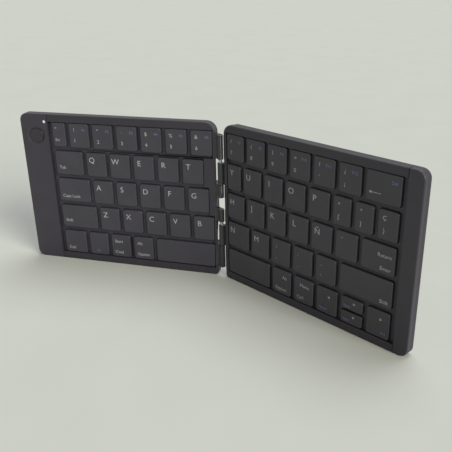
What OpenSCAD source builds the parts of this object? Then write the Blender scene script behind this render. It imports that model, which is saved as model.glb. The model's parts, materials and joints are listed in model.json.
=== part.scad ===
// Folding pocket keyboard, open like a standing book.
// Two key halves turn on one hinge line. Each half is drawn flat, with u running outward from the
// hinge axis, v from the space bar side to the number row, and n up from the back. It is then turned
// to stand on its space bar edge, which is how the set rests, with the keys facing -Y.

/* [Halves] */
// Width of one half, hinge side to outer side
half_w = 121.6; // [120.6:0.1:123]
// Depth of a half, space bar side to number row side
depth = 93.4; // [93.2:0.1:95]
// Distance from the hinge axis to the edge of each half
hinge_gap = 2.9; // [2.7:0.1:3.4]
// Angle between the two halves as they stand
open_angle = 150; // [120:1:178]
// Height of the hinge axis above the back of a half
axis_h = 6.7; // [6.6:0.1:7.2]
// Radius of the two outer corners
outer_r = 4.5; // [4:0.1:5]
// Radius of the corner beside the hinge on the number row side
inner_rear_r = 6; // [5:0.1:6.5]
// Radius of the corner beside the hinge on the space bar side
inner_front_r = 2; // [1.5:0.1:2.5]
// Rounding of the back edges
back_round = 1.2; // [0.8:0.1:1.4]

/* [Shells] */
// Thickness of the back cover's floor
floor_t = 1; // [0.9:0.05:1.1]
// Thickness of the outer walls
wall_t = 1.4; // [1.2:0.1:1.5]
// Height of the joint between back cover and key frame
split_h = 3.4; // [3.3:0.1:3.5]
// Height of the key frame's surface between the keys
deck_h = 4.6; // [4.4:0.1:4.8]
// Height of the rim and the side panels
rim_h = 6.2; // [6:0.1:6.4]
// Width of the left side panel, which covers the battery
left_panel_w = 18.1; // [17.5:0.1:18.6]
// Width of the right side panel
right_panel_w = 8.2; // [8:0.1:8.6]

/* [Keys] */
// Distance between neighbouring letter keys
key_pitch = 15.1; // [14.9:0.05:15.2]
// Distance between rows
row_pitch = 17.25; // [17.2:0.05:17.3]
// Gap between two caps
cap_gap = 2.6; // [2.4:0.1:2.8]
// Depth of a cap
cap_d = 14.6; // [14.2:0.1:14.8]
// Corner radius of a cap
cap_r = 1.2; // [0.8:0.1:1.6]
// Height of the top of a cap
cap_top = 6; // [5.9:0.05:6.2]
// Height of a cap from skirt to top
cap_h = 2.7; // [2.6:0.05:2.8]
// Wall and top thickness of a cap
cap_wall = 0.85; // [0.7:0.05:0.9]
// Bevel round the top of a cap
cap_bevel = 0.3; // [0.2:0.05:0.4]
// Gap between a cap and its window
cap_play = 0.3; // [0.25:0.05:0.4]
// Distance from the space bar edge to the middle of the space bar row
first_row = 12.3; // [12.2:0.1:12.5]

/* [Hinge] */
// Outer radius of the knuckles
knuckle_r = 1.7; // [1.65:0.05:1.95]
// Radius of the hinge pins
pin_r = 1; // [0.9:0.05:1.1]
// Running clearance between a pin and the right half's knuckles
pin_play = 0.05; // [0.03:0.01:0.08]
// Radius of the cable bore in the pins
cable_r = 0.55; // [0.4:0.05:0.6]
// Open gap at the middle of the hinge
mid_gap = 6.8; // [6:0.1:8]
// Lengths of a group's knuckles, from the middle of the hinge outward
knuckle_lengths = [8, 14.8, 14.4];
// End play between two knuckles
knuckle_play = 0.3; // [0.3:0.05:0.5]
// Open length above each of the right half's knuckles, where the pin shows
pin_window = 1.8; // [1.4:0.1:2.2]
// How far the left half's wall leans back at its foot, beside the right half's knuckles
wall_lean = 1.65; // [1.4:0.05:1.7]
// Running clearance between the right half's lips and the left half's knuckles
lip_play = 0.45; // [0.4:0.05:0.6]
// Width of a bracket's foot inside the half
foot_w = 7; // [6:0.1:8]
// Thickness of a knuckle's web, let into the hinge side wall
web_t = 1.1; // [1:0.05:1.2]

/* [Panel fittings] */
// Power button, distance from the outer edge and from the number row edge
button_at = [9.8, 13.2];
// Radius of the power button
button_r = 4.4; // [4:0.1:4.6]
// Status light, distance from the outer edge and from the number row edge
light_at = [15.9, 4.6];
// Radius of the status light
light_r = 0.9; // [0.7:0.1:1]
// Height of the middle of the charging port up the outer edge
port_v = 70; // [68:0.5:72]
// Length of the battery
battery_l = 46; // [40:1:46]

/* [Hidden] */
$fn = 48;
lap = 0.1;                             // by how far fused shapes reach into each other
half_fold = (180 - open_angle) / 2;
outer_u = hinge_gap + half_w;
cap_w_min = 9.5;                       // narrower caps have a dome and no links
rim_step = 0.45;                       // gap between the outermost caps and the rim
lip_round = 0.3;
lean_back = 1.7;                       // inner face of the leaning wall, from the hinge edge
lean_foot = 0.7;
lean_room = 0.1;
plate_t = 0.4;
sheet_t = 0.3;
sheet_top = floor_t + plate_t + sheet_t;
cap_under = cap_top - cap_wall;
link_l = 10.4;
link_w = 9.2;
link_t = 0.6;
link_bar = 0.8;
link_reach = 12;                       // from the middle of a space bar to its two pairs of links
link_room = 0.6;                       // between a link and the skirt of its cap
half_key_gap = 1.4;                    // between the up and down arrow keys
post_r = 0.8;                          // posts that hold the hinge brackets
screw_r = 0.7;
screw_head_r = 1.4;
screw_top = 4.2;
screw_sunk = 0.2;
screw_cone = 0.7;
seat_h = 0.8;                          // screw seats on the back cover's floor
boss_r = 1.5;
magnet_r = 2.25;
magnet_t = 1.6;
magnet_in = 4.4;                       // from the outer edge
magnet_vs = [6.5, depth - 6.5];
magnet_skirt = 0.6;
board_h = floor_t + 0.4;
board_t = 0.8;
board_top = board_h + board_t;
panel_t = 1.4;
top_round = 0.6;
switch_top = 3.9;
button_dish = 0.25;
button_play = 0.2;
foot_pad = [30, 5, 0.9];
foot_out = 0.5;
pad_from_edge = 9;
pad_play = 0.1;
// The axis stands so that the origin is under the middle of the whole set
rear_reach = axis_h * cos(half_fold) - (hinge_gap + back_round) * sin(half_fold);
front_reach = (outer_u - top_round) * sin(half_fold) - (axis_h - rim_h) * cos(half_fold);
axis_y = (front_reach - rear_reach) / 2;

// One row each, number row first: distance of the first key from the half's hinge edge, and the
// widths of the keys from the hinge outward. The last key of a row fills it up to the side panel.
LEFT_ROWS = [
    [0.7, [for (k = [1:6]) key_pitch]],
    [6.3, [for (k = [1:5]) key_pitch]],
    [3.5, [for (k = [1:5]) key_pitch]],
    [0.7, [for (k = [1:5]) key_pitch]],
    [0.7, [39.6, 15, 15, 15]]];
RIGHT_ROWS = [
    [0.5, [for (k = [1:6]) key_pitch]],
    [0.5, [12.6, key_pitch, key_pitch, key_pitch, key_pitch, 12.7, 12.7]],
    [0.5, [for (k = [1:6]) key_pitch]],
    [0.5, [18.6, key_pitch, key_pitch, key_pitch, key_pitch]],
    [0.5, [34.5, 15.4, 15.4, 15.4, 15.4]]];
LAST_ROW = 4;
ARROWS = 4;                            // place of the up and down arrows in their row

function rows(side) = side == "left" ? LEFT_ROWS : RIGHT_ROWS;
function panel_w(side) = side == "left" ? left_panel_w : right_panel_w;
function panel_u(side) = outer_u - panel_w(side);
function row_v(row) = first_row + (LAST_ROW - row) * row_pitch;
function key_count(side, row) = len(rows(side)[row][1]) + 1;
function total(list, n) = n == 0 ? 0 : list[n - 1] + total(list, n - 1);
// Where key k of a row begins; one past the last key gives the row's outer end
function key_start(side, row, k) = k == key_count(side, row)
    ? panel_u(side) - cap_gap / 2
    : hinge_gap + rows(side)[row][0] + total(rows(side)[row][1], k);
function cap_w(side, row, k) = key_start(side, row, k + 1) - key_start(side, row, k) - cap_gap;
function cap_u(side, row, k) = (key_start(side, row, k + 1) + key_start(side, row, k)) / 2;
function is_arrow_pair(side, row, k) = side == "right" && row == LAST_ROW && k == ARROWS;
function screw_places(side) = let (u1 = hinge_gap + 9, u2 = panel_u(side) - 3)
    concat([for (u = [u1, (u1 + u2) / 2, u2], v = [3.1, depth - 3.1]) [u, v]],
        side == "left" ? [[outer_u - 12, 5.2], [outer_u - 9, 60.3]]
                       : [[outer_u - 4.3, 16], [outer_u - 4.3, depth - 16]]);
// Start of knuckle i of the group beyond (way = 1) or before (way = -1) the middle of the hinge
function knuckle_v(i, way) = depth / 2 + way * (mid_gap / 2 + total(knuckle_lengths, i));
function own_knuckles(side) = side == "left" ? [0, 2] : [1];
// Lower and upper end of knuckle i
function knuckle_ends(side, i, way) = let (a = knuckle_v(i, way), b = knuckle_v(i + 1, way))
    [min(a, b), max(a, b) - (side == "right" ? pin_window : 0)];

// ---- helpers ---------------------------------------------------------------------------------

// Stands a half, drawn flat, on its space bar edge and folds it about the hinge axis
module stand(side) {
    translate([0, axis_y, 0])
        rotate([0, 0, side == "left" ? half_fold : -half_fold])
            rotate([90, 0, 0])
                translate([0, 0, -axis_h])
                    if (side == "left") mirror([1, 0, 0]) children();
                    else children();
}

// Plan between two corners, with a radius for each corner: front low u, front high u, rear high u,
// rear low u
module plan(from, to, r) {
    polygon([
        [from[0] + r[0], from[1]], [to[0] - r[1], from[1]],
        [to[0], from[1] + r[1]], [to[0], to[1] - r[2]],
        [to[0] - r[2], to[1]], [from[0] + r[3], to[1]],
        [from[0], to[1] - r[3]], [from[0], from[1] + r[0]]]);
    for (c = corners(from, to, r)) translate([c[0], c[1]]) circle(c[2]);
}

function corners(from, to, r) = [for (c = [
    [from[0] + r[0], from[1] + r[0], r[0]], [to[0] - r[1], from[1] + r[1], r[1]],
    [to[0] - r[2], to[1] - r[2], r[2]], [from[0] + r[3], to[1] - r[3], r[3]]]) if (c[2] > 0) c];

module slab(from, to, r, n0, n1) {
    translate([0, 0, n0]) linear_extrude(n1 - n0) plan(from, to, r);
}

function half_corners(inset) = [inner_front_r - inset, outer_r - inset, outer_r - inset,
    inner_rear_r - inset];

// Half-shaped slab whose edges are rounded at the bottom (way = 1) or at the top (way = -1)
module soft_slab(from, to, r, n0, n1, edge, way) {
    hull() for (c = corners(from, to, r)) translate([c[0], c[1], way > 0 ? n0 : n1])
        mirror([0, 0, way > 0 ? 0 : 1]) rotate_extrude($fn = 32) polygon([
            [0, 0], [c[2] - edge, 0], [c[2] - 0.62 * edge, 0.08 * edge],
            [c[2] - 0.29 * edge, 0.29 * edge], [c[2] - 0.08 * edge, 0.62 * edge],
            [c[2], edge], [c[2], n1 - n0], [0, n1 - n0]]);
}

// Openings in the hinge side wall for the webs of a half's own knuckles
module knuckle_notches(side, n0, t) {
    for (way = [1, -1], i = own_knuckles(side)) {
        ends = knuckle_ends(side, i, way);
        translate([hinge_gap - lap, ends[0], n0]) cube([t + lap, ends[1] - ends[0], rim_h]);
    }
}

// Beside the right half's knuckles the left half's wall leans back towards its foot, which leaves a
// slit that light falls through
module leaning_cut() {
    for (way = [1, -1]) along_hinge(knuckle_v(1, way), knuckle_v(2, way))
        polygon([[hinge_gap - 1, -lap], [hinge_gap + wall_lean, -lap], [hinge_gap + wall_lean, 0],
            [hinge_gap, rim_h], [hinge_gap - 1, rim_h]]);
}

// Backs the leaning wall inside the left half, as far as the key windows, with a wider foot
module leaning_wall(gap = 0) {
    for (way = [1, -1]) along_hinge(knuckle_v(1, way) - gap * way, knuckle_v(2, way) + gap * way)
        translate([hinge_gap, floor_t]) polygon([
            [wall_t - lap, -lap], [lean_back + lean_foot + gap, -lap], [lean_back + lean_foot + gap, gap],
            [lean_back + gap, lean_foot + gap], [lean_back + gap, split_h - floor_t],
            [wall_t - lap, split_h - floor_t]]);
}

// Lips of the right half's frame, which shut the gap beside the left half's knuckles
module hinge_lips() {
    reach = sqrt((knuckle_r + lip_play) ^ 2 - (axis_h - rim_h) ^ 2);
    edge = [reach + lip_round, rim_h - lip_round];
    for (way = [1, -1], i = own_knuckles("left")) let (ends = knuckle_ends("left", i, way))
        along_hinge(ends[0] + knuckle_play, ends[1] - knuckle_play) {
            translate([reach, split_h]) square([hinge_gap - reach + lap, edge[1] - split_h]);
            translate([edge[0], split_h]) square([hinge_gap - edge[0] + lap, rim_h - split_h]);
            translate(edge) circle(lip_round);
        }
}

// ---- shells ----------------------------------------------------------------------------------

module bottom_cover(side) {
    rib_w = 1;
    ledge = 0.6;
    color("#2b2c31") stand(side) difference() {
        union() {
            difference() {
                soft_slab([hinge_gap, 0], [outer_u, depth], half_corners(0), 0, split_h, back_round, 1);
                slab([hinge_gap + wall_t, wall_t], [outer_u - wall_t, depth - wall_t],
                    half_corners(wall_t), floor_t, split_h + lap);
            }
            translate([panel_u(side) - ledge, wall_t - lap, floor_t - lap])
                cube([rib_w + ledge, depth - 2 * (wall_t - lap), split_h - floor_t + lap]);
            for (p = screw_places(side)) translate([p[0], p[1], floor_t - lap])
                cylinder(r = boss_r, h = seat_h + lap);
            bracket_posts(side);
            if (side == "left") {
                board_posts();
                leaning_wall();
            }
        }
        for (p = screw_places(side)) translate([p[0], p[1], -lap]) {
            cylinder(r = screw_r, h = split_h);
            cylinder(r = screw_head_r, h = screw_sunk + lap);
            translate([0, 0, screw_sunk + lap])
                cylinder(r1 = screw_head_r, r2 = screw_r, h = screw_cone);
        }
        for (v = pad_places) pad(v, pad_play);
        knuckle_notches(side, floor_t, wall_t);
        if (side == "left") {
            port_hole();
            leaning_cut();
        }
    }
}

module key_frame(side) {
    edge_v = [row_v(LAST_ROW) - cap_d / 2 - rim_step, row_v(0) + cap_d / 2 + rim_step];
    color("#303138") stand(side) difference() {
        union() {
            intersection() {
                slab([hinge_gap, 0], [panel_u(side), depth], [inner_front_r, 0, 0, inner_rear_r],
                    split_h, rim_h);
                soft_slab([hinge_gap, 0], [outer_u, depth], half_corners(0),
                    split_h, rim_h, top_round, -1);
            }
            for (p = screw_places(side)) if (p[0] < panel_u(side))
                translate([p[0], p[1], floor_t + seat_h]) cylinder(r = boss_r, h = split_h - floor_t);
            if (side == "right") hinge_lips();
        }
        // The well of the keys, stepped with the rows
        for (row = [0:LAST_ROW]) {
            low = row == LAST_ROW ? edge_v[0] : row_v(row) - row_pitch / 2;
            high = row == 0 ? edge_v[1] : row_v(row) + row_pitch / 2;
            start = key_start(side, row, 0) + cap_gap / 2 - rim_step;
            translate([start, low, deck_h]) cube([panel_u(side) - start + lap, high - low, rim_h]);
        }
        for (row = [0:LAST_ROW], k = [0:key_count(side, row) - 1])
            window(cap_u(side, row, k), row_v(row), cap_w(side, row, k));
        for (p = screw_places(side)) translate([p[0], p[1], 0]) cylinder(r = screw_r, h = screw_top);
        knuckle_notches(side, split_h - lap, web_t);
        if (side == "left") leaning_cut();
    }
}

module window(u, v, w) {
    size = [w / 2 + cap_play, cap_d / 2 + cap_play];
    r = cap_r + cap_play;
    translate([u, v, 0]) slab(-size, size, [r, r, r, r], split_h - lap, rim_h + lap);
}

module side_panel(side) {
    from = [panel_u(side), 0];
    to = [outer_u, depth];
    inner_wall = 1;
    well_r = min(outer_r - wall_t, (panel_w(side) - inner_wall - wall_t) / 2);
    color("#2e2f35") stand(side) difference() {
        union() {
            difference() {
                intersection() {
                    translate([from[0], from[1], split_h])
                        cube([panel_w(side), depth, rim_h - split_h]);
                    // the mould rounds the top edges of the three outer sides only
                    soft_slab([from[0] - outer_r, 0], to, [outer_r, outer_r, outer_r, outer_r],
                        split_h, rim_h, top_round, -1);
                }
                slab(from + [inner_wall, wall_t], to - [wall_t, wall_t],
                    [0, well_r, well_r, 0], split_h - lap, rim_h - panel_t);
            }
            for (p = screw_places(side)) if (p[0] > panel_u(side))
                translate([p[0], p[1], floor_t + seat_h])
                    cylinder(r = boss_r, h = rim_h - panel_t - floor_t - seat_h + lap);
            for (v = magnet_vs) translate([outer_u - magnet_in, v, rim_h - panel_t - magnet_t])
                cylinder(r = magnet_r + magnet_skirt, h = magnet_t + lap);
        }
        for (p = screw_places(side)) translate([p[0], p[1], 0]) cylinder(r = screw_r, h = screw_top);
        for (v = magnet_vs) translate([outer_u - magnet_in, v, 0])
            cylinder(r = magnet_r, h = rim_h - panel_t);
        if (side == "left") {
            at_panel(button_at) cylinder(r = button_r + button_play, h = rim_h + lap);
            at_panel(button_at) translate([0, 0, rim_h - button_dish])
                cylinder(r = button_r + 0.8, h = button_dish + lap);
            at_panel(light_at) cylinder(r = light_r, h = rim_h + lap);
            port_hole();
        }
    }
}

// A place on the left side panel, given from the outer and number row edges
module at_panel(place) {
    translate([outer_u - place[0], depth - place[1], 0]) children();
}

// ---- under the keys --------------------------------------------------------------------------

module key_field(side, n0, n1) {
    from_edge = 4.9;
    slab([hinge_gap + wall_t + 0.2, from_edge], [panel_u(side) - 0.8, depth - from_edge],
        [1, 1, 1, 1], n0, n1);
}

module backplate(side) {
    color("#b9bcc0") stand(side) difference() {
        key_field(side, floor_t, floor_t + plate_t);
        for (way = [1, -1]) bracket_room(side, way);
    }
}

module membrane(side) {
    color("#d9dccf") stand(side) difference() {
        key_field(side, floor_t + plate_t, sheet_top);
        bracket_posts(side, 0.2);
        if (side == "left") leaning_wall(lean_room);
    }
}

// Runs its children at the middle of each key that is wide and deep enough for links
module each_key(side, links) {
    for (row = [0:LAST_ROW], k = [0:key_count(side, row) - 1]) {
        small = is_arrow_pair(side, row, k) || cap_w(side, row, k) < cap_w_min;
        u = cap_u(side, row, k);
        widest_reach = cap_w(side, row, k) / 2 - cap_wall - link_room - link_w / 2;
        reach = cap_w(side, row, k) > 30 ? min(link_reach, widest_reach) : 0;
        $key_w = cap_w(side, row, k);
        if (is_arrow_pair(side, row, k) && !links)
            for (way = [1, -1]) translate([u, row_v(row) + way * arrow_shift, 0]) children();
        else if (reach > 0 && links)
            for (way = [1, -1]) translate([u + way * reach, row_v(row), 0]) children();
        else if (!links || !small) translate([u, row_v(row), 0]) children();
    }
}

function dome_r(w) = w < cap_w_min ? 2 : min(2.5, w / 2 - 3.15);

module domes(side) {
    skin = 0.35;
    color("#e7e6e0") stand(side) each_key(side, false) {
        r = dome_r($key_w);
        neck = r * 0.62;
        rotate_extrude() polygon([
            [r - skin, sheet_top], [r, sheet_top], [r, sheet_top + 0.25], [neck, cap_under - 0.9],
            [neck, cap_under], [0, cap_under], [0, cap_under - 1.3], [neck - skin, cap_under - 1.3]]);
    }
}

// Pairs of crossed links that guide each cap
module scissors(side) {
    tilt = asin((cap_under - sheet_top - link_t) / link_l);
    color("#d8d8d2") stand(side) each_key(side, true)
        translate([0, 0, (cap_under + sheet_top) / 2]) {
            w = min(link_w, $key_w - 2.4);
            inner_w = w - 2 * link_bar - 0.3;
            rotate([tilt, 0, 0]) link(w);
            rotate([-tilt, 0, 0]) link(inner_w);
            for (way = [1, -1]) translate([way * (inner_w / 2 - 0.3), 0, 0])
                rotate([0, 90 * way, 0]) cylinder(r = 0.3, h = 0.8);
        }
}

module link(w) {
    difference() {
        cube([w, link_l, link_t], center = true);
        cube([w - 2 * link_bar, link_l - 2 * link_bar, 2 * link_t], center = true);
    }
}

// ---- keys ------------------------------------------------------------------------------------

arrow_d = (cap_d - half_key_gap) / 2;
arrow_shift = (arrow_d + half_key_gap) / 2;

module cap(w, d) {
    size = [w / 2, d / 2];
    hollow = size - [cap_wall, cap_wall];
    r = cap_r - 0.4;
    difference() {
        intersection() {
            slab(-size, size, [cap_r, cap_r, cap_r, cap_r], cap_top - cap_h, cap_top);
            bevelled(w, d);
            rotate(90) bevelled(d, w);
        }
        slab(-hollow, hollow, [r, r, r, r], 0, cap_under);
    }
}

// Prism along v whose two top edges are bevelled
module bevelled(w, d) {
    rotate([90, 0, 0]) linear_extrude(d + 1, center = true) polygon([
        [-w / 2, 0], [w / 2, 0], [w / 2, cap_top - cap_bevel], [w / 2 - cap_bevel, cap_top],
        [cap_bevel - w / 2, cap_top], [-w / 2, cap_top - cap_bevel]]);
}

// Caps first to last of a row, counted from the hinge
module caps(side, row, first, last) {
    color("#3a3b42") stand(side) for (k = [first:last])
        translate([cap_u(side, row, k), row_v(row), 0]) cap(cap_w(side, row, k), cap_d);
}

module arrow_cap(way) {
    color("#3a3b42") stand("right")
        translate([cap_u("right", LAST_ROW, ARROWS), row_v(LAST_ROW) + way * arrow_shift, 0])
            cap(cap_w("right", LAST_ROW, ARROWS), arrow_d);
}

module key_escape() caps("left", 0, 6, 6);
module keys_left_digits() caps("left", 0, 0, 5);
module key_tab() caps("left", 1, 5, 5);
module keys_left_top_letters() caps("left", 1, 0, 4);
module key_caps_lock() caps("left", 2, 5, 5);
module keys_left_home_letters() caps("left", 2, 0, 4);
module key_left_shift() caps("left", 3, 5, 5);
module keys_left_low_letters() caps("left", 3, 0, 4);
module key_left_ctrl() caps("left", 4, 4, 4);
module key_function() caps("left", 4, 3, 3);
module key_command() caps("left", 4, 2, 2);
module key_left_alt() caps("left", 4, 1, 1);
module key_left_space() caps("left", 4, 0, 0);
module keys_right_digits() caps("right", 0, 0, 5);
module key_backspace() caps("right", 0, 6, 6);
module keys_right_top_letters() caps("right", 1, 0, 4);
module key_bracket_open() caps("right", 1, 5, 5);
module key_bracket_close() caps("right", 1, 6, 6);
module key_backslash() caps("right", 1, 7, 7);
module keys_right_home_letters() caps("right", 2, 0, 5);
module key_enter() caps("right", 2, 6, 6);
module keys_right_low_letters() caps("right", 3, 0, 4);
module key_right_shift() caps("right", 3, 5, 5);
module key_right_space() caps("right", 4, 0, 0);
module key_right_alt() caps("right", 4, 1, 1);
module key_right_ctrl() caps("right", 4, 2, 2);
module key_arrow_left() caps("right", 4, 3, 3);
module key_arrow_up() arrow_cap(1);
module key_arrow_down() arrow_cap(-1);
module key_arrow_right() caps("right", 4, 5, 5);

// ---- hinge -----------------------------------------------------------------------------------

// Section of a knuckle with its web and foot, seen along the hinge
module knuckle_section() {
    translate([0, axis_h]) circle(knuckle_r);
    polygon([
        [0, axis_h - knuckle_r], [hinge_gap, split_h - 0.6], [hinge_gap, floor_t],
        [hinge_gap + wall_t + foot_w, floor_t], [hinge_gap + wall_t + foot_w, floor_t + plate_t],
        [hinge_gap + web_t, floor_t + plate_t], [hinge_gap + web_t, rim_h], [0, rim_h]]);
}

// Lengths of shaft along the hinge, between two places
module along_hinge(a, b) {
    translate([0, max(a, b), 0]) rotate([90, 0, 0]) linear_extrude(abs(b - a)) children();
}

function foot_span(side, way) = side == "left"
    ? [knuckle_v(0, way), knuckle_v(3, way)]
    : [knuckle_v(1, way) - 3 * way, knuckle_v(2, way) + 3 * way];

module bracket_foot(side, way, gap, n1) {
    a = foot_span(side, way);
    translate([hinge_gap + wall_t - gap, min(a) - gap, floor_t])
        cube([foot_w + 2 * gap, abs(a[1] - a[0]) + 2 * gap, n1 - floor_t]);
}

module bracket_room(side, way) bracket_foot(side, way, 0.2, sheet_top);

function post_places(side) = [for (way = [1, -1], t = [0.15, 0.85]) let (a = foot_span(side, way))
    [hinge_gap + wall_t + foot_w / 2, a[0] + t * (a[1] - a[0])]];

module bracket_posts(side, gap = 0) {
    for (p = post_places(side)) translate([p[0], p[1], floor_t - lap])
        cylinder(r = post_r + gap, h = sheet_top - floor_t + lap + gap);
}

module hinge_brackets(side) {
    bore_r = side == "left" ? pin_r : pin_r + pin_play;
    color("#3b3c42") stand(side) difference() {
        for (way = [1, -1]) {
            bracket_foot(side, way, 0, floor_t + plate_t);
            for (i = own_knuckles(side)) let (ends = knuckle_ends(side, i, way))
                along_hinge(ends[0] + knuckle_play / 2, ends[1] - knuckle_play / 2) knuckle_section();
        }
        translate([0, 0, axis_h]) rotate([-90, 0, 0]) cylinder(r = bore_r, h = depth);
        bracket_posts(side, 0.05);
        if (side == "left") leaning_wall(lean_room);
    }
}

module hinge_pins() {
    color("#c4c6ca") stand("left") for (way = [1, -1])
        along_hinge(knuckle_v(0, way) + 0.4 * way, knuckle_v(3, way) - 0.4 * way)
            translate([0, axis_h]) difference() {
                circle(pin_r);
                circle(cable_r);
            }
}

// The wires that join the two halves, led through the number row side's pin
module hinge_cable() {
    color("#6c3b2a") stand("left")
        along_hinge(knuckle_v(0, 1) + 0.8, knuckle_v(3, 1) - 0.8)
            translate([0, axis_h]) circle(cable_r);
}

// ---- side panel fittings ---------------------------------------------------------------------

board_from = [outer_u - 16.3, depth - 27.9];
board_to = [outer_u - wall_t - 0.4, depth - wall_t - 0.4];

module board_posts() {
    for (u = [board_from[0] + 2, board_to[0] - 2], v = [board_from[1] + 2, board_to[1] - 4])
        translate([u, v, floor_t - lap]) cylinder(r = 1, h = board_h - floor_t + lap);
}

// Board with its radio chip, crystal and battery connector; each is given by its middle, from the
// outer and number row edges, and its size
module main_board() {
    parts = [[[11.8, 22], [5, 5, 0.8]], [[7.6, 20.2], [1.6, 3.2, 0.7]], [[12.5, 27], [4, 1.6, 1.2]]];
    color("#1f5a3c") stand("left") {
        slab(board_from, board_to, [0.5, 0.5, 3.5, 0.5], board_h, board_top);
        for (p = parts) at_panel(p[0])
            translate([-p[1][0] / 2, -p[1][1] / 2, board_top - lap]) cube(p[1] + [0, 0, lap]);
    }
}

// Soft cell with the folded end that carries its tabs
module battery() {
    start_v = 10;
    end_v = start_v + battery_l;
    tab = [9, 1.4, 1.2];
    color("#b8bcc4") stand("left") {
        slab([outer_u - 16.3, start_v], [outer_u - 2.4, end_v], [1.2, 1.2, 1.2, 1.2],
            floor_t, rim_h - panel_t - 0.4);
        translate([outer_u - 14, end_v - lap, floor_t]) cube(tab + [0, lap, 0]);
    }
}

port_size = [5.2, 7.6, 2.5];
port_skin = 0.35;
port_r = 1.05;
port_n = board_top + port_size[2] / 2;
tongue = [3.6, 3.8, 0.6];

// Round-cornered bar along u with the port's section, thicker all round by gap
module port_bar(u0, u1, gap) {
    size = [port_size[1] / 2 + gap, port_size[2] / 2 + gap];
    r = port_r + gap;
    translate([u0, port_v, port_n]) rotate([90, 0, 90]) slab(-size, size, [r, r, r, r], 0, u1 - u0);
}

module port_hole() port_bar(outer_u - wall_t - lap, outer_u + lap, 0.15);

module charging_port() {
    end_u = outer_u - 0.4;
    start_u = end_u - port_size[0];
    color("#c4c6ca") stand("left") {
        difference() {
            port_bar(start_u, end_u, 0);
            port_bar(start_u + 1, end_u + lap, -port_skin);
        }
        translate([start_u + 0.9, port_v - tongue[1] / 2, port_n - tongue[2] / 2]) cube(tongue);
    }
}

module status_light() {
    color("#f4f6ff") stand("left") at_panel(light_at)
        translate([0, 0, board_top]) cylinder(r = light_r, h = rim_h - board_top);
}

module power_button() {
    flange_h = 0.6;
    flange_n = rim_h - panel_t - flange_h - 0.1;
    dish_r = 34;
    color("#232429") stand("left") at_panel(button_at) difference() {
        union() {
            translate([0, 0, flange_n]) cylinder(r = button_r, h = rim_h - flange_n);
            translate([0, 0, flange_n]) cylinder(r = button_r + 0.7, h = flange_h);
            translate([0, 0, switch_top]) cylinder(r = 1.2, h = 1);
        }
        translate([0, 0, rim_h + dish_r - button_dish]) sphere(r = dish_r);
    }
}

module button_switch() {
    color("#d0d2d6") stand("left") at_panel(button_at) {
        translate([-2.6, -2.6, board_top]) cube([5.2, 5.2, 1.2]);
        translate([0, 0, board_top]) cylinder(r = 1.3, h = switch_top - board_top);
    }
}

module magnets(side) {
    color("#c9ccd2") stand(side) for (v = magnet_vs)
        translate([outer_u - magnet_in, v, rim_h - panel_t - magnet_t])
            cylinder(r = magnet_r, h = magnet_t);
}

// ---- back ------------------------------------------------------------------------------------

pad_places = [pad_from_edge, depth - pad_from_edge];

// Room for one foot, or the foot itself with no gap, on the middle of the back
module pad(v, gap) {
    size = [foot_pad[0] / 2 + gap, foot_pad[1] / 2 + gap];
    r = foot_pad[1] / 2 + gap;
    translate([(hinge_gap + outer_u) / 2, v, 0])
        slab(-size, size, [r, r, r, r], -foot_out, foot_pad[2] - foot_out);
}

module feet(side) {
    color("#1b1b1e") stand(side) for (v = pad_places) pad(v, 0);
}

module screws(side) {
    color("#9a9da3") stand(side) for (p = screw_places(side)) translate([p[0], p[1], 0])
        difference() {
            translate([0, 0, screw_sunk]) {
                cylinder(r = screw_r, h = screw_top - screw_sunk);
                cylinder(r1 = screw_head_r, r2 = screw_r, h = screw_cone);
            }
            for (turn = [0, 90]) rotate(turn) cube([1.6, 0.3, 1], center = true);
        }
}

module left_bottom_cover() bottom_cover("left");
module right_bottom_cover() bottom_cover("right");
module left_key_frame() key_frame("left");
module right_key_frame() key_frame("right");
module left_side_panel() side_panel("left");
module right_side_panel() side_panel("right");
module left_backplate() backplate("left");
module right_backplate() backplate("right");
module left_membrane() membrane("left");
module right_membrane() membrane("right");
module left_domes() domes("left");
module right_domes() domes("right");
module left_scissors() scissors("left");
module right_scissors() scissors("right");
module left_magnets() magnets("left");
module right_magnets() magnets("right");
module left_feet() feet("left");
module right_feet() feet("right");
module left_screws() screws("left");
module right_screws() screws("right");
module left_hinge_brackets() hinge_brackets("left");
module right_hinge_brackets() hinge_brackets("right");

left_bottom_cover();
right_bottom_cover();
left_key_frame();
right_key_frame();
left_side_panel();
right_side_panel();
left_backplate();
right_backplate();
left_membrane();
right_membrane();
left_domes();
right_domes();
left_scissors();
right_scissors();
main_board();
battery();
charging_port();
status_light();
power_button();
button_switch();
left_magnets();
right_magnets();
left_feet();
right_feet();
left_screws();
right_screws();
left_hinge_brackets();
right_hinge_brackets();
hinge_pins();
hinge_cable();
key_escape();
keys_left_digits();
key_tab();
keys_left_top_letters();
key_caps_lock();
keys_left_home_letters();
key_left_shift();
keys_left_low_letters();
key_left_ctrl();
key_function();
key_command();
key_left_alt();
key_left_space();
keys_right_digits();
key_backspace();
keys_right_top_letters();
key_bracket_open();
key_bracket_close();
key_backslash();
keys_right_home_letters();
key_enter();
keys_right_low_letters();
key_right_shift();
key_right_space();
key_right_alt();
key_right_ctrl();
key_arrow_left();
key_arrow_up();
key_arrow_down();
key_arrow_right();
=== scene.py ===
"""Looks of a folding pocket keyboard, open like a standing book.

Each half is modelled flat, as it lies on a bench with its keys up: x to the right, y up the board
from the space bar side, z out of the keys from the back. It is then seated on its place in the frame.
"""

import json
from math import cos, pi, radians, sin

import bpy
import numpy as np
from mathutils import Matrix, Vector

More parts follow.
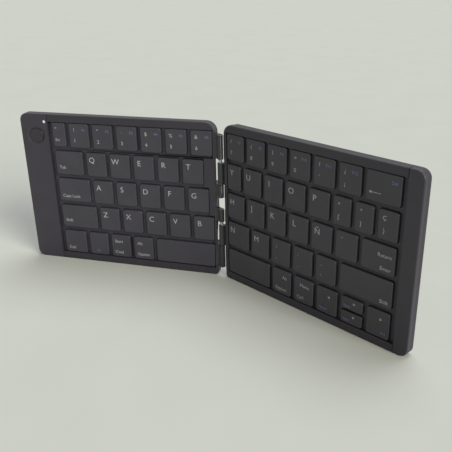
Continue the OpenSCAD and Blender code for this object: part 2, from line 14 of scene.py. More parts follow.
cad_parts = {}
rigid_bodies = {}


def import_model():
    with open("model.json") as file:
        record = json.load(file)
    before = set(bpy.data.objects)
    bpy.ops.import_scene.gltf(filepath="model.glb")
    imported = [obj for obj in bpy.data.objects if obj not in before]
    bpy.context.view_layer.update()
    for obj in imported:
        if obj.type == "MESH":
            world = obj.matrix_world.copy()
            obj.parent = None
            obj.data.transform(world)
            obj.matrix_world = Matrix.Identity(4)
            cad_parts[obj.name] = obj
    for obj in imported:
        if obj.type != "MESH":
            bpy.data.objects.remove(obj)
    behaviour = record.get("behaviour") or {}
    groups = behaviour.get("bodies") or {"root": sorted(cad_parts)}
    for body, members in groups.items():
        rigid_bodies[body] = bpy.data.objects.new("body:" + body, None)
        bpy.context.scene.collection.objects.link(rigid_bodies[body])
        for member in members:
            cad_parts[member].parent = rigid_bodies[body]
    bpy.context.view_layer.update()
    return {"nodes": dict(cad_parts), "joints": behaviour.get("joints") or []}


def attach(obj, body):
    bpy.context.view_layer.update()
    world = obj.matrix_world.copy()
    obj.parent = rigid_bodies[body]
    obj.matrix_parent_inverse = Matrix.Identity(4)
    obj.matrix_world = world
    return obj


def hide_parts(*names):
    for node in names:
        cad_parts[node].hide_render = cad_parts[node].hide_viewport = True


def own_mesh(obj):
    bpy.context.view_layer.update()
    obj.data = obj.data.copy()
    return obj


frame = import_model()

bpy.ops.object.select_all(action="DESELECT")

MM = 0.001
UP = Vector((0, 0, 1))
UP_BOARD = Vector((0, 1, 0))
OUTWARD = {"left": -1, "right": 1}  # which way a half runs from the hinge, along x

# ---- sizes that the frame doesn't give ----

NEAR = 0.002 * MM  # points closer than this are one
SKIN = 0.001 * MM  # by which a bore is cut clear of its barrel
HAIR = 0.01 * MM  # overlap that keeps a cut clean
BITE = 0.1 * MM  # how far a joined block reaches into its neighbour

HINGE_FRONT_R = 2 * MM  # corner radii of a half
HINGE_REAR_R = 6 * MM
OUTER_R = 4.5 * MM
BACK_ROUND = 1.2 * MM
TOP_ROUND = 0.6 * MM
EDGE = 0.13 * MM  # softening of a moulded edge
WALL = 1.4 * MM
FLOOR = 1 * MM
DECK_H = 4.6 * MM  # frame's surface between the caps
PANEL_WALL = 1.2 * MM
PANEL_T = 1.4 * MM
PANEL_SEAM = 0.3 * MM  # open seam between an end panel and its key frame
RIM_STEP = 0.45 * MM  # gap between the outermost caps and the rim
ROW_PITCH = 17.25 * MM

CAP_PLAY = 0.3 * MM  # caps
CAP_R = 1.2 * MM
CAP_WALL = 0.85 * MM
CAP_EDGE = 0.42 * MM  # rounding of the top edges
CAP_KEEP = 1.5 * MM  # border that is never stretched
DISH = 0.09 * MM  # how deep the top is dished
DISH_LINES = (-0.9, -0.75, -0.5, -0.2, 0.2, 0.5, 0.75, 0.9)
INK_T = 0.02 * MM
TYPE_SIZE = 1.38  # type size that gives capitals of height 1
PRINT_FROM = 12 * MM  # height from which the legends are laid on the caps
TAIL = (0.3, 5.5 * MM)  # shaft of the backspace arrow: share of its head, length

WEB_T = 1.1 * MM  # hinge
KNUCKLE_R = 1.7 * MM
KNUCKLES = (8 * MM, 14.8 * MM, 14.4 * MM)
KNUCKLE_PLAY = 0.3 * MM
KNUCKLE_CHAMFER = 0.16 * MM
OWN_KNUCKLES = {"left": (0, 2), "right": (1,)}
MID_GAP = 6.8 * MM
PIN_R = 1 * MM
PIN_PLAY = 0.05 * MM  # of the right half's knuckles on the pins
PIN_CHAMFER = 0.12 * MM
CABLE_R = 0.55 * MM
SHOULDER_H = 2.8 * MM  # where a web's sloping underside meets its half
PIN_WINDOW = 1.8 * MM  # open length above each of the right half's knuckles
WALL_LEAN = 1.65 * MM  # of the left half's wall beside them, at its foot
LEAN_BACK = 1.7 * MM  # inner face of that wall, from the hinge edge
LEAN_FOOT = 0.7 * MM
LIP_PLAY = 0.45 * MM  # right half's lips, beside the left half's knuckles
LIP_ROUND = 0.3 * MM
LIP_SUNK = 0.004 * MM
FOOT_W = 7 * MM  # feet of the brackets, and how far they pass their knuckles
FOOT_REACH = {"left": 0, "right": 3 * MM}
PLATE_T = 0.4 * MM
BRACKET_EDGE = 0.1 * MM

SCREW_R = 0.7 * MM  # back
SCREW_HEAD_R = 1.4 * MM
SCREW_SUNK = 0.2 * MM
SCREW_CONE = 0.7 * MM
SCREW_BREAK = 0.05 * MM  # broken edge of the head
SCREW_TIP = 0.3 * MM
SCREW_EDGE = 0.03 * MM
CROSS = (0.8 * MM, 0.15 * MM)  # half length and half width of the recess
CROSS_DEPTH = 0.45 * MM
PAD_PLAY = 0.1 * MM
PAD_ROUND = 0.35 * MM

BUTTON_R = 4.4 * MM  # power button
BUTTON_PLAY = 0.2 * MM
BUTTON_STEM_R = 1.2 * MM
BUTTON_EDGE = 0.3 * MM
BUTTON_BREAK = 0.09 * MM  # middle of that rounded edge, in from both faces
BUTTON_DISH = 0.2 * MM
BUTTON_SUNK = 0.02 * MM
FLANGE_T = 0.6 * MM
FLANGE_PLAY = 0.1 * MM  # under the panel
RING_W = 0.6 * MM  # sunk ring round the button, with a sloping lip
RING_T = 0.42 * MM
RING_LIP = 0.7 * MM
SWITCH_H = 1.2 * MM
SWITCH_R = 0.5 * MM
PLUNGER_R = 1.3 * MM
PLUNGER_PLAY = 0.1 * MM
CRIMP = 0.15 * MM  # rounding of the switch's edges

PORT_PLAY = 0.15 * MM  # charging socket
PORT_ROUND = 0.42  # corner radius, as a share of its height
PORT_WALL = 0.3 * MM
PORT_DEPTH = 4.2 * MM
PORT_EDGE = 0.06 * MM
TONGUE_FROM = 0.7 * MM  # its tongue, from the two ends of the socket
TONGUE_TO = 0.9 * MM
TONGUE = (1.9 * MM, 0.3 * MM)  # half its width and half its thickness

# Top of the status light: share of its radius, and drop in millimetres
LIGHT_TOP = ((1, 0.25), (0.93, 0.12), (0.75, 0.04), (0.4, 0), (0, 0))


# ---- reading the frame ----

JOINTS = {joint["child"]: joint for joint in frame["joints"]}
HINGE = Vector(JOINTS["right_half"]["pos_m"])
KEYS = [body for body in JOINTS if body.startswith("key")]


def side_of(body):
    """The half that a key or the button belongs to, by the way it is pressed."""
    return "left" if JOINTS[body]["axis"][0] < 0 else "right"


def seat_of(side, pressed):
    """Matrix that takes a half from the bench to its place in the frame."""
    out = -Vector(JOINTS[pressed]["axis"]).normalized()
    turn = Matrix((UP.cross(out), UP, out)).transposed().to_4x4()
    on_hinge = Matrix.Translation(HINGE) @ turn
    back = on_hinge.inverted()
    lowest = min((back @ v.co).z for v in frame["nodes"][side + "_bottom_cover"].data.vertices)
    return on_hinge @ Matrix.Translation((0, 0, lowest))


SEAT = {"left": seat_of("left", "key_escape"), "right": seat_of("right", "key_enter")}
AXIS_H = (SEAT["left"].inverted() @ Vector((HINGE.x, HINGE.y, 0))).z


def bench_points(node, side):
    """A CAD node's vertices as they lie on the bench, and its triangles."""
    mesh = frame["nodes"][node].data
    mesh.calc_loop_triangles()
    points = np.zeros(len(mesh.vertices) * 3)
    mesh.vertices.foreach_get("co", points)
    back = np.array(SEAT[side].inverted())
    triangles = np.zeros(len(mesh.loop_triangles) * 3, int)
    mesh.loop_triangles.foreach_get("vertices", triangles)
    return points.reshape(-1, 3) @ back[:3, :3].T + back[:3, 3], triangles.reshape(-1, 3)


def bench_box(node, side):
    points = bench_points(node, side)[0]
    return Vector(points.min(0)), Vector(points.max(0))


def bench_parts(node, side):
    """Lowest and highest corner of each loose part of a CAD node, from left to right."""
    points, triangles = bench_points(node, side)
    where = np.unique(np.round(points / NEAR), axis=0, return_inverse=True)[1].ravel()
    triangles = where[triangles]
    label = np.arange(where.max() + 1)
    while True:
        least = label[triangles].min(axis=1)
        spread = label.copy()
        np.minimum.at(spread, triangles.ravel(), np.repeat(least, 3))
        if (spread == label).all():
            break
        label = spread
    boxes = []
    for part in np.unique(label[triangles]):
        own = points[label[where] == part]
        boxes.append((Vector(own.min(0)), Vector(own.max(0))))
    return sorted(boxes, key=lambda box: (round(box[0].x, 4), box[0].y))


# ---- modelling by hand ----

def select_only(*pieces):
    bpy.ops.object.select_all(action="DESELECT")
    for piece in pieces:
        piece.select_set(True)
    bpy.context.view_layer.objects.active = pieces[0]


def select_all():
    bpy.ops.mesh.select_all(action="SELECT")


def edit_all(made):
    """Goes into edit mode with all of a piece selected."""
    select_only(made)
    bpy.ops.object.mode_set(mode="EDIT")
    select_all()


def done():
    bpy.ops.object.mode_set(mode="OBJECT")


def settle(location=False, rotation=False, scale=False):
    """Takes the selected piece's own move, turn or stretch into its mesh."""
    bpy.ops.object.transform_apply(location=location, rotation=rotation, scale=scale)


def fresh(name):
    """Names the piece that was just made."""
    bpy.context.object.name = name
    return bpy.context.object


def block(name, low, high):
    """A box between two corners."""
    low, high = Vector(low), Vector(high)
    bpy.ops.mesh.primitive_cube_add(size=1, location=(low + high) / 2)
    made = fresh(name)
    made.scale = high - low
    settle(location=True, scale=True)
    return made


def upright_block(name, side, u, v, n):
    """A box given outward from the hinge, up the board and out from the back."""
    x = sorted(OUTWARD[side] * a for a in u)
    return block(name, (x[0], v[0], n[0]), (x[1], v[1], n[1]))


def pick(made, kind, test):
    """Goes into edit mode with the edges or faces selected that pass the test."""
    select_only(made)
    bpy.ops.object.mode_set(mode="EDIT")
    bpy.ops.mesh.select_mode(type=kind)
    bpy.ops.mesh.select_all(action="DESELECT")
    bpy.ops.object.mode_set(mode="OBJECT")
    mesh = made.data
    if kind == "EDGE":
        for edge in mesh.edges:
            edge.select = test(*(mesh.vertices[i].co for i in edge.vertices))
    else:
        for face in mesh.polygons:
            face.select = test(face.center, face.normal)
    bpy.ops.object.mode_set(mode="EDIT")


def near(a, b):
    return abs(a - b) < NEAR


def round_edges(made, r, segments, test):
    """Rounds the edges that pass the test."""
    pick(made, "EDGE", test)
    bpy.ops.mesh.bevel(offset=r, segments=segments, affect="EDGES", clamp_overlap=False)
    done()


def round_corner(made, x, y, r, segments):
    """Rounds the upright edge of a block at a corner of its plan."""
    round_edges(made, r, segments, lambda a, b: all(near(p.x, x) and near(p.y, y) for p in (a, b)))


def round_corners(made, low, high, r, segments):
    for x in (low.x, high.x):
        for y in (low.y, high.y):
            round_corner(made, x, y, r, segments)


def round_rim(made, z, r, segments, spare=None):
    """Rounds the edges round a flat face at height z, apart from those that lie at x = spare."""
    round_edges(made, r, segments, lambda a, b: near(a.z, z) and near(b.z, z) and (
        spare is None or not (near(a.x, spare) and near(b.x, spare))))


def hollow(made, z, wall, depth):
    """Sinks a well into the flat face at height z and leaves a wall round it."""
    pick(made, "FACE", lambda centre, normal: near(centre.z, z) and abs(normal.z) > 0.99)
    bpy.ops.mesh.inset(thickness=wall, depth=0)
    bpy.ops.mesh.extrude_region_move(TRANSFORM_OT_translate={"value": (0, 0, depth)})
    done()


def turned(name, profile, centre, steps, along=UP):
    """A lathe piece: the profile of (radius, along) points is spun about an axis through centre."""
    points = [Vector(centre) + Vector((r, 0, 0)) + along * h for r, h in profile]
    bpy.ops.mesh.primitive_plane_add(size=MM, location=points[0])
    made = fresh(name)
    settle(location=True)
    bpy.ops.object.mode_set(mode="EDIT")
    bpy.ops.mesh.select_mode(type="VERT")
    select_all()
    bpy.ops.mesh.merge(type="CENTER")
    for before, after in zip(points, points[1:]):
        bpy.ops.mesh.extrude_vertices_move(TRANSFORM_OT_translate={"value": after - before})
    select_all()
    bpy.ops.mesh.spin(steps=steps, angle=2 * pi, center=centre, axis=along)
    select_all()
    bpy.ops.mesh.remove_doubles(threshold=NEAR)
    bpy.ops.mesh.normals_make_consistent(inside=False)
    done()
    return made


def peg(name, r, start, end, centre, steps, along=UP):
    """A plain round piece, mostly to cut a hole with."""
    return turned(name, [(0, start), (r, start), (r, end), (0, end)], centre, steps, along)


def tube(name, bore, r, start, end, chamfer, steps):
    """A tube on the hinge axis with chamfered ends."""
    return turned(name, [
        (bore, start), (r - chamfer, start), (r, start + chamfer), (r, end - chamfer),
        (r - chamfer, end), (bore, end), (bore, start)], (0, 0, AXIS_H), steps, UP_BOARD)


def joined(name, pieces):
    select_only(*pieces)
    if len(pieces) > 1:
        bpy.ops.object.join()
    return fresh(name)


def copy_of(made, name):
    select_only(made)
    bpy.ops.object.duplicate()
    return fresh(name)


def move(made, offset):
    made.location = offset
    select_only(made)
    settle(location=True)
    return made


def finish_with(made, kind, **settings):
    """Adds a modifier and applies it."""
    modifier = made.modifiers.new(kind.lower(), kind)
    for key, value in settings.items():
        setattr(modifier, key, value)
    select_only(made)
    bpy.ops.object.modifier_apply(modifier=modifier.name)


def combine(made, tools, operation):
    tool = joined("tool", tools)
    finish_with(made, "BOOLEAN", object=tool, operation=operation, solver="EXACT", use_self=True)
    bpy.data.objects.remove(tool)


def cut(made, tools):
    combine(made, tools, "DIFFERENCE")


def merge_flat(made):
    """Merges the slivers that a cut leaves on a flat face, so that it shades evenly."""
    edit_all(made)
    bpy.ops.mesh.dissolve_limited(angle_limit=radians(0.3), use_dissolve_boundaries=False)
    done()


def soften(made, width=EDGE, segments=2, angle=35):
    """Takes the sharpness off the edges that are left, and keeps flat faces flat."""
    finish_with(made, "BEVEL", width=width, segments=segments, limit_method="ANGLE",
                angle_limit=radians(angle), use_clamp_overlap=True)
    return smooth(made)


def smooth(made, angle=50):
    select_only(made)
    bpy.ops.object.shade_smooth_by_angle(angle=radians(angle))
    finish_with(made, "WEIGHTED_NORMAL", keep_sharp=True, weight=80)
    return made


def ride_for(made, body, slot_name, *nodes):
    """Lets a seated piece ride on its body and hides the CAD nodes that it stands in for."""
    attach(made, body)
    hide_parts(*nodes)


def place(made, side, body, slot_name, *nodes):
    """Takes a finished piece from the bench to its place in the frame."""
    made.matrix_world = SEAT[side]
    select_only(made)
    settle(location=True, rotation=True, scale=True)
    ride_for(made, body, slot_name, *nodes)


def dress(made, side, slot_name, node):
    """Paints and places a piece that stays with its half."""
    paint(made, slot_name)
    place(made, side, side + "_half", slot_name, node)


# ---- materials ----

class Nodes:
    """A material's node tree, with short words for what is used again and again."""

    def __init__(self, name):
        self.material = bpy.data.materials.new(name)
        self.material.use_nodes = True
        self.tree = self.material.node_tree
        self.shader = self.tree.nodes["Principled BSDF"]
        self.object = self.add("ShaderNodeTexCoord").outputs["Object"]

    def add(self, kind, **inputs):
        node = self.tree.nodes.new(kind)
        for key, value in inputs.items():
            self.feed(node.inputs[key.replace("_", " ")], value)
        return node

    def feed(self, socket, value):
        if isinstance(value, bpy.types.NodeSocket):
            self.tree.links.new(value, socket)
        else:
            socket.default_value = value

    def set(self, **inputs):
        for key, value in inputs.items():
            self.feed(self.shader.inputs[key.replace("_", " ")], value)

    def noise(self, size, detail=2.0, distortion=0.0, stretch=(1, 1, 1)):
        """Noise with features about as large as size, in metres."""
        where = self.add("ShaderNodeMapping", Vector=self.object, Scale=stretch).outputs[0]
        noise = self.add("ShaderNodeTexNoise", Vector=where, Scale=1 / size, Detail=detail,
                         Distortion=distortion)
        return noise.outputs["Fac"]

    def cells(self, size):
        cell = self.add("ShaderNodeTexVoronoi", Vector=self.object, Scale=1 / size)
        return cell.outputs["Distance"]

    def ranged(self, value, low, high, to_low=0.0, to_high=1.0):
        node = self.add("ShaderNodeMapRange", Value=value, From_Min=low, From_Max=high,
                        To_Min=to_low, To_Max=to_high)
        return node.outputs["Result"]

    def math(self, operation, a, b):
        node = self.add("ShaderNodeMath")
        node.operation = operation
        self.feed(node.inputs[0], a)
        self.feed(node.inputs[1], b)
        return node.outputs[0]

    def mix(self, factor, a, b):
        node = self.add("ShaderNodeMix")
        node.data_type = "RGBA"
        self.feed(node.inputs[0], factor)
        self.feed(node.inputs[6], a)
        self.feed(node.inputs[7], b)
        return node.outputs[2]

    def bump(self, height, distance):
        return self.add("ShaderNodeBump", Height=height, Distance=distance).outputs["Normal"]

    def edges(self, radius):
        """1 on edges that hands rub, 0 on flat faces."""
        bevel = self.add("ShaderNodeBevel", Radius=radius)
        bevel.samples = 4
        flat = self.add("ShaderNodeNewGeometry").outputs["Normal"]
        dot = self.add("ShaderNodeVectorMath")
        dot.operation = "DOT_PRODUCT"
        self.feed(dot.inputs[0], bevel.outputs[0])
        self.feed(dot.inputs[1], flat)
        return self.ranged(dot.outputs["Value"], 0.995, 0.85)


def rgb(red, green, blue):
    """A colour given as it looks on screen, 0 to 255."""
    return tuple((c / 255) ** 2.2 for c in (red, green, blue)) + (1.0,)


def scaled(colour, factor):
    return tuple(min(1.0, c * factor) for c in colour[:3]) + (1.0,)


def moulded_plastic(name, colour, roughness, grain, depth, wear=0.25, grease=0.0):
    """Spark-textured plastic: fine grain, cloudy tone, polished edges and a touch of grease."""
    n = Nodes(name)
    fine = n.noise(grain, 3.0)
    pits = n.cells(1.7 * grain)
    cloud = n.noise(14 * MM, 4.0, 0.6)
    speckle = n.noise(0.35 * MM, 2.0)
    tone = n.mix(n.ranged(cloud, 0.3, 0.7), scaled(colour, 0.9), scaled(colour, 1.1))
    tone = n.mix(n.ranged(speckle, 0.35, 0.75, 0, 0.35), tone, scaled(colour, 0.72))
    rub = n.math("MULTIPLY", n.edges(0.22 * MM), n.ranged(n.noise(1.5 * MM, 5.0), 0.35, 0.65, 0.25, 1))
    tone = n.mix(n.math("MULTIPLY", rub, wear), tone, scaled(colour, 2.6))
    rough = n.ranged(cloud, 0.3, 0.7, roughness - 0.05, roughness + 0.05)
    rough = n.math("ADD", rough, n.ranged(fine, 0.3, 0.7, -0.05, 0.05))
    rough = n.math("SUBTRACT", rough, n.math("MULTIPLY", rub, 0.14))
    if grease:
        touch = n.ranged(n.noise(5 * MM, 5.0, 1.2), 0.5, 0.72, 0, grease)
        rough = n.math("SUBTRACT", rough, touch)
    height = n.math("ADD", fine, n.math("MULTIPLY", pits, 0.5))
    n.set(Base_Color=tone, Roughness=rough, Normal=n.bump(height, depth))
    return n.material


def painted_metal(name, colour, roughness):
    """Baked paint: smooth with a faint orange peel."""
    n = Nodes(name)
    peel = n.noise(0.7 * MM, 2.0)
    fleck = n.noise(0.12 * MM, 2.0)
    tone = n.mix(n.ranged(fleck, 0.4, 0.7, 0, 0.4), colour, scaled(colour, 1.5))
    rub = n.math("MULTIPLY", n.edges(0.2 * MM), n.ranged(n.noise(0.8 * MM, 4.0), 0.4, 0.7))
    tone = n.mix(n.math("MULTIPLY", rub, 0.35), tone, rgb(120, 120, 124))
    n.set(Base_Color=tone, Roughness=n.ranged(peel, 0.3, 0.7, roughness - 0.05, roughness + 0.07),
          Normal=n.bump(peel, 0.012 * MM))
    n.shader.inputs["Coat Weight"].default_value = 0.3
    n.shader.inputs["Coat Roughness"].default_value = 0.2
    return n.material


def metal(name, colour, roughness, stretch=(1, 1, 1)):
    """Bare metal with drawn or brushed lines along the stretched way."""
    n = Nodes(name)
    lines = n.noise(0.15 * MM, 3.0, 0.0, stretch)
    stain = n.noise(4 * MM, 4.0, 0.5)
    tone = n.mix(n.ranged(stain, 0.35, 0.7, 0, 0.5), colour, scaled(colour, 0.78))
    n.set(Base_Color=tone, Roughness=n.ranged(lines, 0.3, 0.7, roughness - 0.07, roughness + 0.1),
          Normal=n.bump(lines, 0.006 * MM), Metallic=1.0)
    return n.material


def rubber(name, colour, roughness=0.85):
    n = Nodes(name)
    grain = n.noise(0.25 * MM, 4.0)
    dust = n.ranged(n.noise(2.5 * MM, 5.0, 0.8), 0.5, 0.8, 0, 0.35)
    tone = n.mix(dust, colour, scaled(colour, 2.2))
    n.set(Base_Color=tone, Roughness=n.ranged(grain, 0.3, 0.7, roughness - 0.08, roughness + 0.08),
          Normal=n.bump(grain, 0.02 * MM))
    return n.material


def printed_ink(name, colour):
    n = Nodes(name)
    tone = n.mix(n.ranged(n.noise(0.3 * MM, 3.0), 0.35, 0.75, 0, 0.5), colour, scaled(colour, 0.8))
    n.set(Base_Color=tone, Roughness=n.ranged(n.noise(0.2 * MM), 0.3, 0.7, 0.42, 0.6),
          Normal=n.bump(n.noise(0.1 * MM), 0.004 * MM))
    return n.material


def soft_plastic(name, colour, roughness, shine):
    """Unpigmented silicone, nylon or film under the keys."""
    n = Nodes(name)
    cloud = n.noise(1.8 * MM, 3.0, 0.3)
    tone = n.mix(n.ranged(cloud, 0.3, 0.7), colour, scaled(colour, 0.88))
    n.set(Base_Color=tone, Roughness=n.ranged(cloud, 0.3, 0.7, roughness - 0.06, roughness + 0.06),
          Normal=n.bump(n.noise(0.2 * MM), 0.006 * MM), Subsurface_Weight=shine,
          Subsurface_Radius=(0.4 * MM, 0.35 * MM, 0.3 * MM), Subsurface_Scale=1.0)
    return n.material


def circuit_board(name):
    """Green solder mask over fine traces, with tinned pads."""
    n = Nodes(name)
    brick = n.add("ShaderNodeTexBrick", Vector=n.object, Scale=160.0, Mortar_Size=0.03)
    traces = n.ranged(brick.outputs["Fac"], 0.2, 0.8)
    pads = n.ranged(n.cells(2.4 * MM), 0.16, 0.12)
    tone = n.mix(traces, rgb(22, 82, 52), rgb(38, 112, 70))
    tone = n.mix(pads, tone, rgb(190, 190, 186))
    n.set(Base_Color=tone, Roughness=n.ranged(traces, 0, 1, 0.32, 0.42),
          Normal=n.bump(n.math("ADD", traces, pads), 0.03 * MM), Metallic=pads)
    return n.material


def cell_foil(name):
    """Crimped aluminium pouch."""
    n = Nodes(name)
    wrinkle = n.noise(3 * MM, 5.0, 1.5)
    n.set(Base_Color=n.mix(n.ranged(wrinkle, 0.3, 0.7), rgb(176, 178, 184), rgb(198, 200, 205)),
          Roughness=n.ranged(wrinkle, 0.3, 0.7, 0.28, 0.42), Normal=n.bump(wrinkle, 0.1 * MM),
          Metallic=0.9)
    return n.material


def glowing_pipe(name):
    """Milky light pipe, lit from below."""
    n = Nodes(name)
    haze = n.noise(0.4 * MM, 3.0)
    tone = n.mix(n.ranged(haze, 0.3, 0.7), rgb(214, 210, 230), rgb(196, 192, 214))
    n.set(Base_Color=tone, Roughness=n.ranged(haze, 0.3, 0.7, 0.25, 0.4), Emission_Color=tone,
          Emission_Strength=0.35, Normal=n.bump(haze, 0.01 * MM))
    return n.material


DARK = rgb(52, 49, 57)

PAINTS = {
    "cover": moulded_plastic("cover_plastic", DARK, 0.55, 0.16 * MM, 0.012 * MM),
    "frame": moulded_plastic("frame_plastic", DARK, 0.5, 0.13 * MM, 0.008 * MM),
    "side_panel": moulded_plastic("panel_plastic", rgb(57, 54, 62), 0.46, 0.13 * MM, 0.007 * MM),
    "key_cap": moulded_plastic("cap_plastic", rgb(63, 61, 68), 0.44, 0.11 * MM, 0.006 * MM, 0.2, 0.1),
    "button": moulded_plastic("button_plastic", rgb(50, 47, 54), 0.3, 0.11 * MM, 0.003 * MM, 0.2, 0.1),
    "sheet_steel": metal("backplate_steel", rgb(170, 172, 176), 0.4, (1, 1, 14)),
    "membrane": soft_plastic("membrane_film", rgb(206, 208, 196), 0.35, 0.1),
    "dome_rubber": soft_plastic("dome_silicone", rgb(226, 224, 216), 0.5, 0.4),
    "link_plastic": soft_plastic("link_nylon", rgb(212, 212, 206), 0.45, 0.2),
    "board": circuit_board("board_laminate"),
    "cell_foil": cell_foil("battery_pouch"),
    "light_pipe": glowing_pipe("light_pipe"),
    "magnet_plate": metal("magnet_nickel", rgb(190, 190, 190), 0.22),
    "foot_rubber": rubber("foot_rubber", rgb(30, 30, 33)),
    "screw_steel": metal("screw_zinc", rgb(120, 120, 124), 0.35),
    "hinge_paint": painted_metal("hinge_paint", rgb(40, 39, 44), 0.3),
    "pin_steel": metal("pin_steel", rgb(178, 180, 184), 0.25, (1, 1, 12)),
    "wire_jacket": rubber("wire_jacket", rgb(92, 44, 32), 0.55),
}
INK = printed_ink("legend_ink", rgb(176, 176, 180))
BLUE_INK = printed_ink("second_legend_ink", rgb(104, 122, 168))


def paint(made, slot_name):
    made.data.materials.clear()
    made.data.materials.append(PAINTS[slot_name])


# ---- halves ----

def ends(side, low, high):
    """The hinge end and the outer end of a box, along x."""
    return (high.x, low.x) if side == "left" else (low.x, high.x)


def centre_of(box):
    """Middle of a box's plan."""
    low, high = box
    return (low.x + high.x) / 2, (low.y + high.y) / 2, 0


def hinge_edge(side):
    """How far the edge of a half lies from the hinge axis."""
    return abs(ends(side, *bench_box(side + "_bottom_cover", side))[0])


def knuckle_span(i, way):
    """Where knuckle i of the group above or below the middle of the hinge lies, up the board."""
    middle = bench_box("left_bottom_cover", "left")[1].y / 2
    inner = middle + way * (MID_GAP / 2 + sum(KNUCKLES[:i]))
    return sorted((inner, inner + way * KNUCKLES[i]))


def knuckle_ends(side, i, way):
    """What a half's own knuckle fills of that length."""
    start, end = knuckle_span(i, way)
    return start, end - (PIN_WINDOW if side == "right" else 0)


def knuckle_notches(side, reach, n):
    """Cutters for the openings in the hinge side wall, where the webs of the knuckles are let in."""
    edge = hinge_edge(side)
    return [upright_block("notch", side, (edge - MM, edge + reach), knuckle_ends(side, i, way), n)
            for way in (1, -1) for i in OWN_KNUCKLES[side]]


def lean(made, edge, slope, foot):
    """Leans the outer end of a block back: slope per height, from foot at n = 0."""
    for point in made.data.vertices:
        if abs(point.co.x) > edge:
            point.co.x = OUTWARD["left"] * (foot - slope * point.co.z)
    return made


def leaning_cuts(rim):
    """Cutters that lean the left half's wall back beside the right half's knuckles."""
    edge = hinge_edge("left")
    tools = []
    for way in (1, -1):
        tool = upright_block("lean", "left", (edge - MM, edge), knuckle_span(1, way), (-MM, rim + MM))
        tools.append(lean(tool, edge - MM / 2, WALL_LEAN / rim, edge + WALL_LEAN))
    return tools


def leaning_backs(split):
    """Backs that wall inside the left half, with a wider foot."""
    edge = hinge_edge("left")
    backs = []
    for way in (1, -1):
        span = knuckle_span(1, way)
        backs.append(upright_block("back", "left", (edge + WALL - BITE, edge + LEAN_BACK), span,
                                   (FLOOR - BITE, split)))
        foot = upright_block("foot", "left", (edge + WALL - BITE / 2, edge + LEAN_BACK), span,
                             (FLOOR - BITE / 2, FLOOR + LEAN_FOOT))
        backs.append(lean(foot, edge + WALL, 1, edge + LEAN_BACK + LEAN_FOOT + FLOOR))
    return backs


def hinge_lips(split, rim):
    """Lips of the right half's frame that shut the gap beside the left half's knuckles."""
    reach = ((KNUCKLE_R + LIP_PLAY) ** 2 - (AXIS_H - rim) ** 2) ** 0.5
    top = rim - LIP_SUNK
    lips = []
    for way in (1, -1):
        for i in OWN_KNUCKLES["left"]:
            start, end = knuckle_span(i, way)
            lip = upright_block("lip", "right", (reach, hinge_edge("right") + TOP_ROUND + BITE),
                                (start + KNUCKLE_PLAY, end - KNUCKLE_PLAY), (split, top))
            round_edges(lip, LIP_ROUND, 4, lambda a, b: all(
                near(p.x, reach) and near(p.z, top) for p in (a, b)))
            lips.append(lip)
    return lips


def screw_places(side):
    return [centre_of(box) for box in bench_parts(side + "_screws", side)]


def pad_tool(box, play):
    """Cutter for the bed of a rubber foot, or the foot itself with no play."""
    low, high = box
    r = (high.y - low.y) / 2 + play
    pad = block("pad", (low.x - play, low.y - play, low.z), (high.x + play, high.y + play, high.z))
    for x in (low.x - play, high.x + play):
        for y in (low.y - play, high.y + play):
            round_corner(pad, x, y, r * 0.999, 10)
    return pad


def port_tool(play, wall_end):
    """Rounded opening for the charging socket, or the socket's own outside with no play."""
    low, high = bench_box("charging_port", "left")
    tool = block("port", (wall_end, low.y - play, low.z - play), (high.x, high.y + play, high.z + play))
    round_edges(tool, PORT_ROUND * (high.z - low.z) + play, 6,
                lambda a, b: near(a.y, b.y) and near(a.z, b.z))
    return tool


def back_cover(side):
    low, high = bench_box(side + "_bottom_cover", side)
    inner, outer = ends(side, low, high)
    shell = block(side + "_back_cover", low, high)
    for x, y, r in ((inner, low.y, HINGE_FRONT_R), (inner, high.y, HINGE_REAR_R),
                    (outer, low.y, OUTER_R), (outer, high.y, OUTER_R)):
        round_corner(shell, x, y, r, 12)
    round_rim(shell, low.z, BACK_ROUND, 6)
    hollow(shell, high.z, WALL, FLOOR - high.z)
    if side == "left":
        combine(shell, leaning_backs(high.z), "UNION")
    tools = [pad_tool(box, PAD_PLAY) for box in bench_parts(side + "_feet", side)]
    for centre in screw_places(side):
        tools.append(turned("screw_hole", [
            (0, -MM), (SCREW_HEAD_R, -MM), (SCREW_HEAD_R, SCREW_SUNK),
            (SCREW_R, SCREW_SUNK + SCREW_CONE), (SCREW_R, 2 * FLOOR), (0, 2 * FLOOR)], centre, 28))
    tools += knuckle_notches(side, WALL, (FLOOR, high.z + MM))
    if side == "left":
        tools.append(port_tool(PORT_PLAY, low.x - MM))
        tools += leaning_cuts(bench_box("left_key_frame", "left")[1].z)
    cut(shell, tools)
    merge_flat(shell)
    soften(shell)
    dress(shell, side, "cover", side + "_bottom_cover")


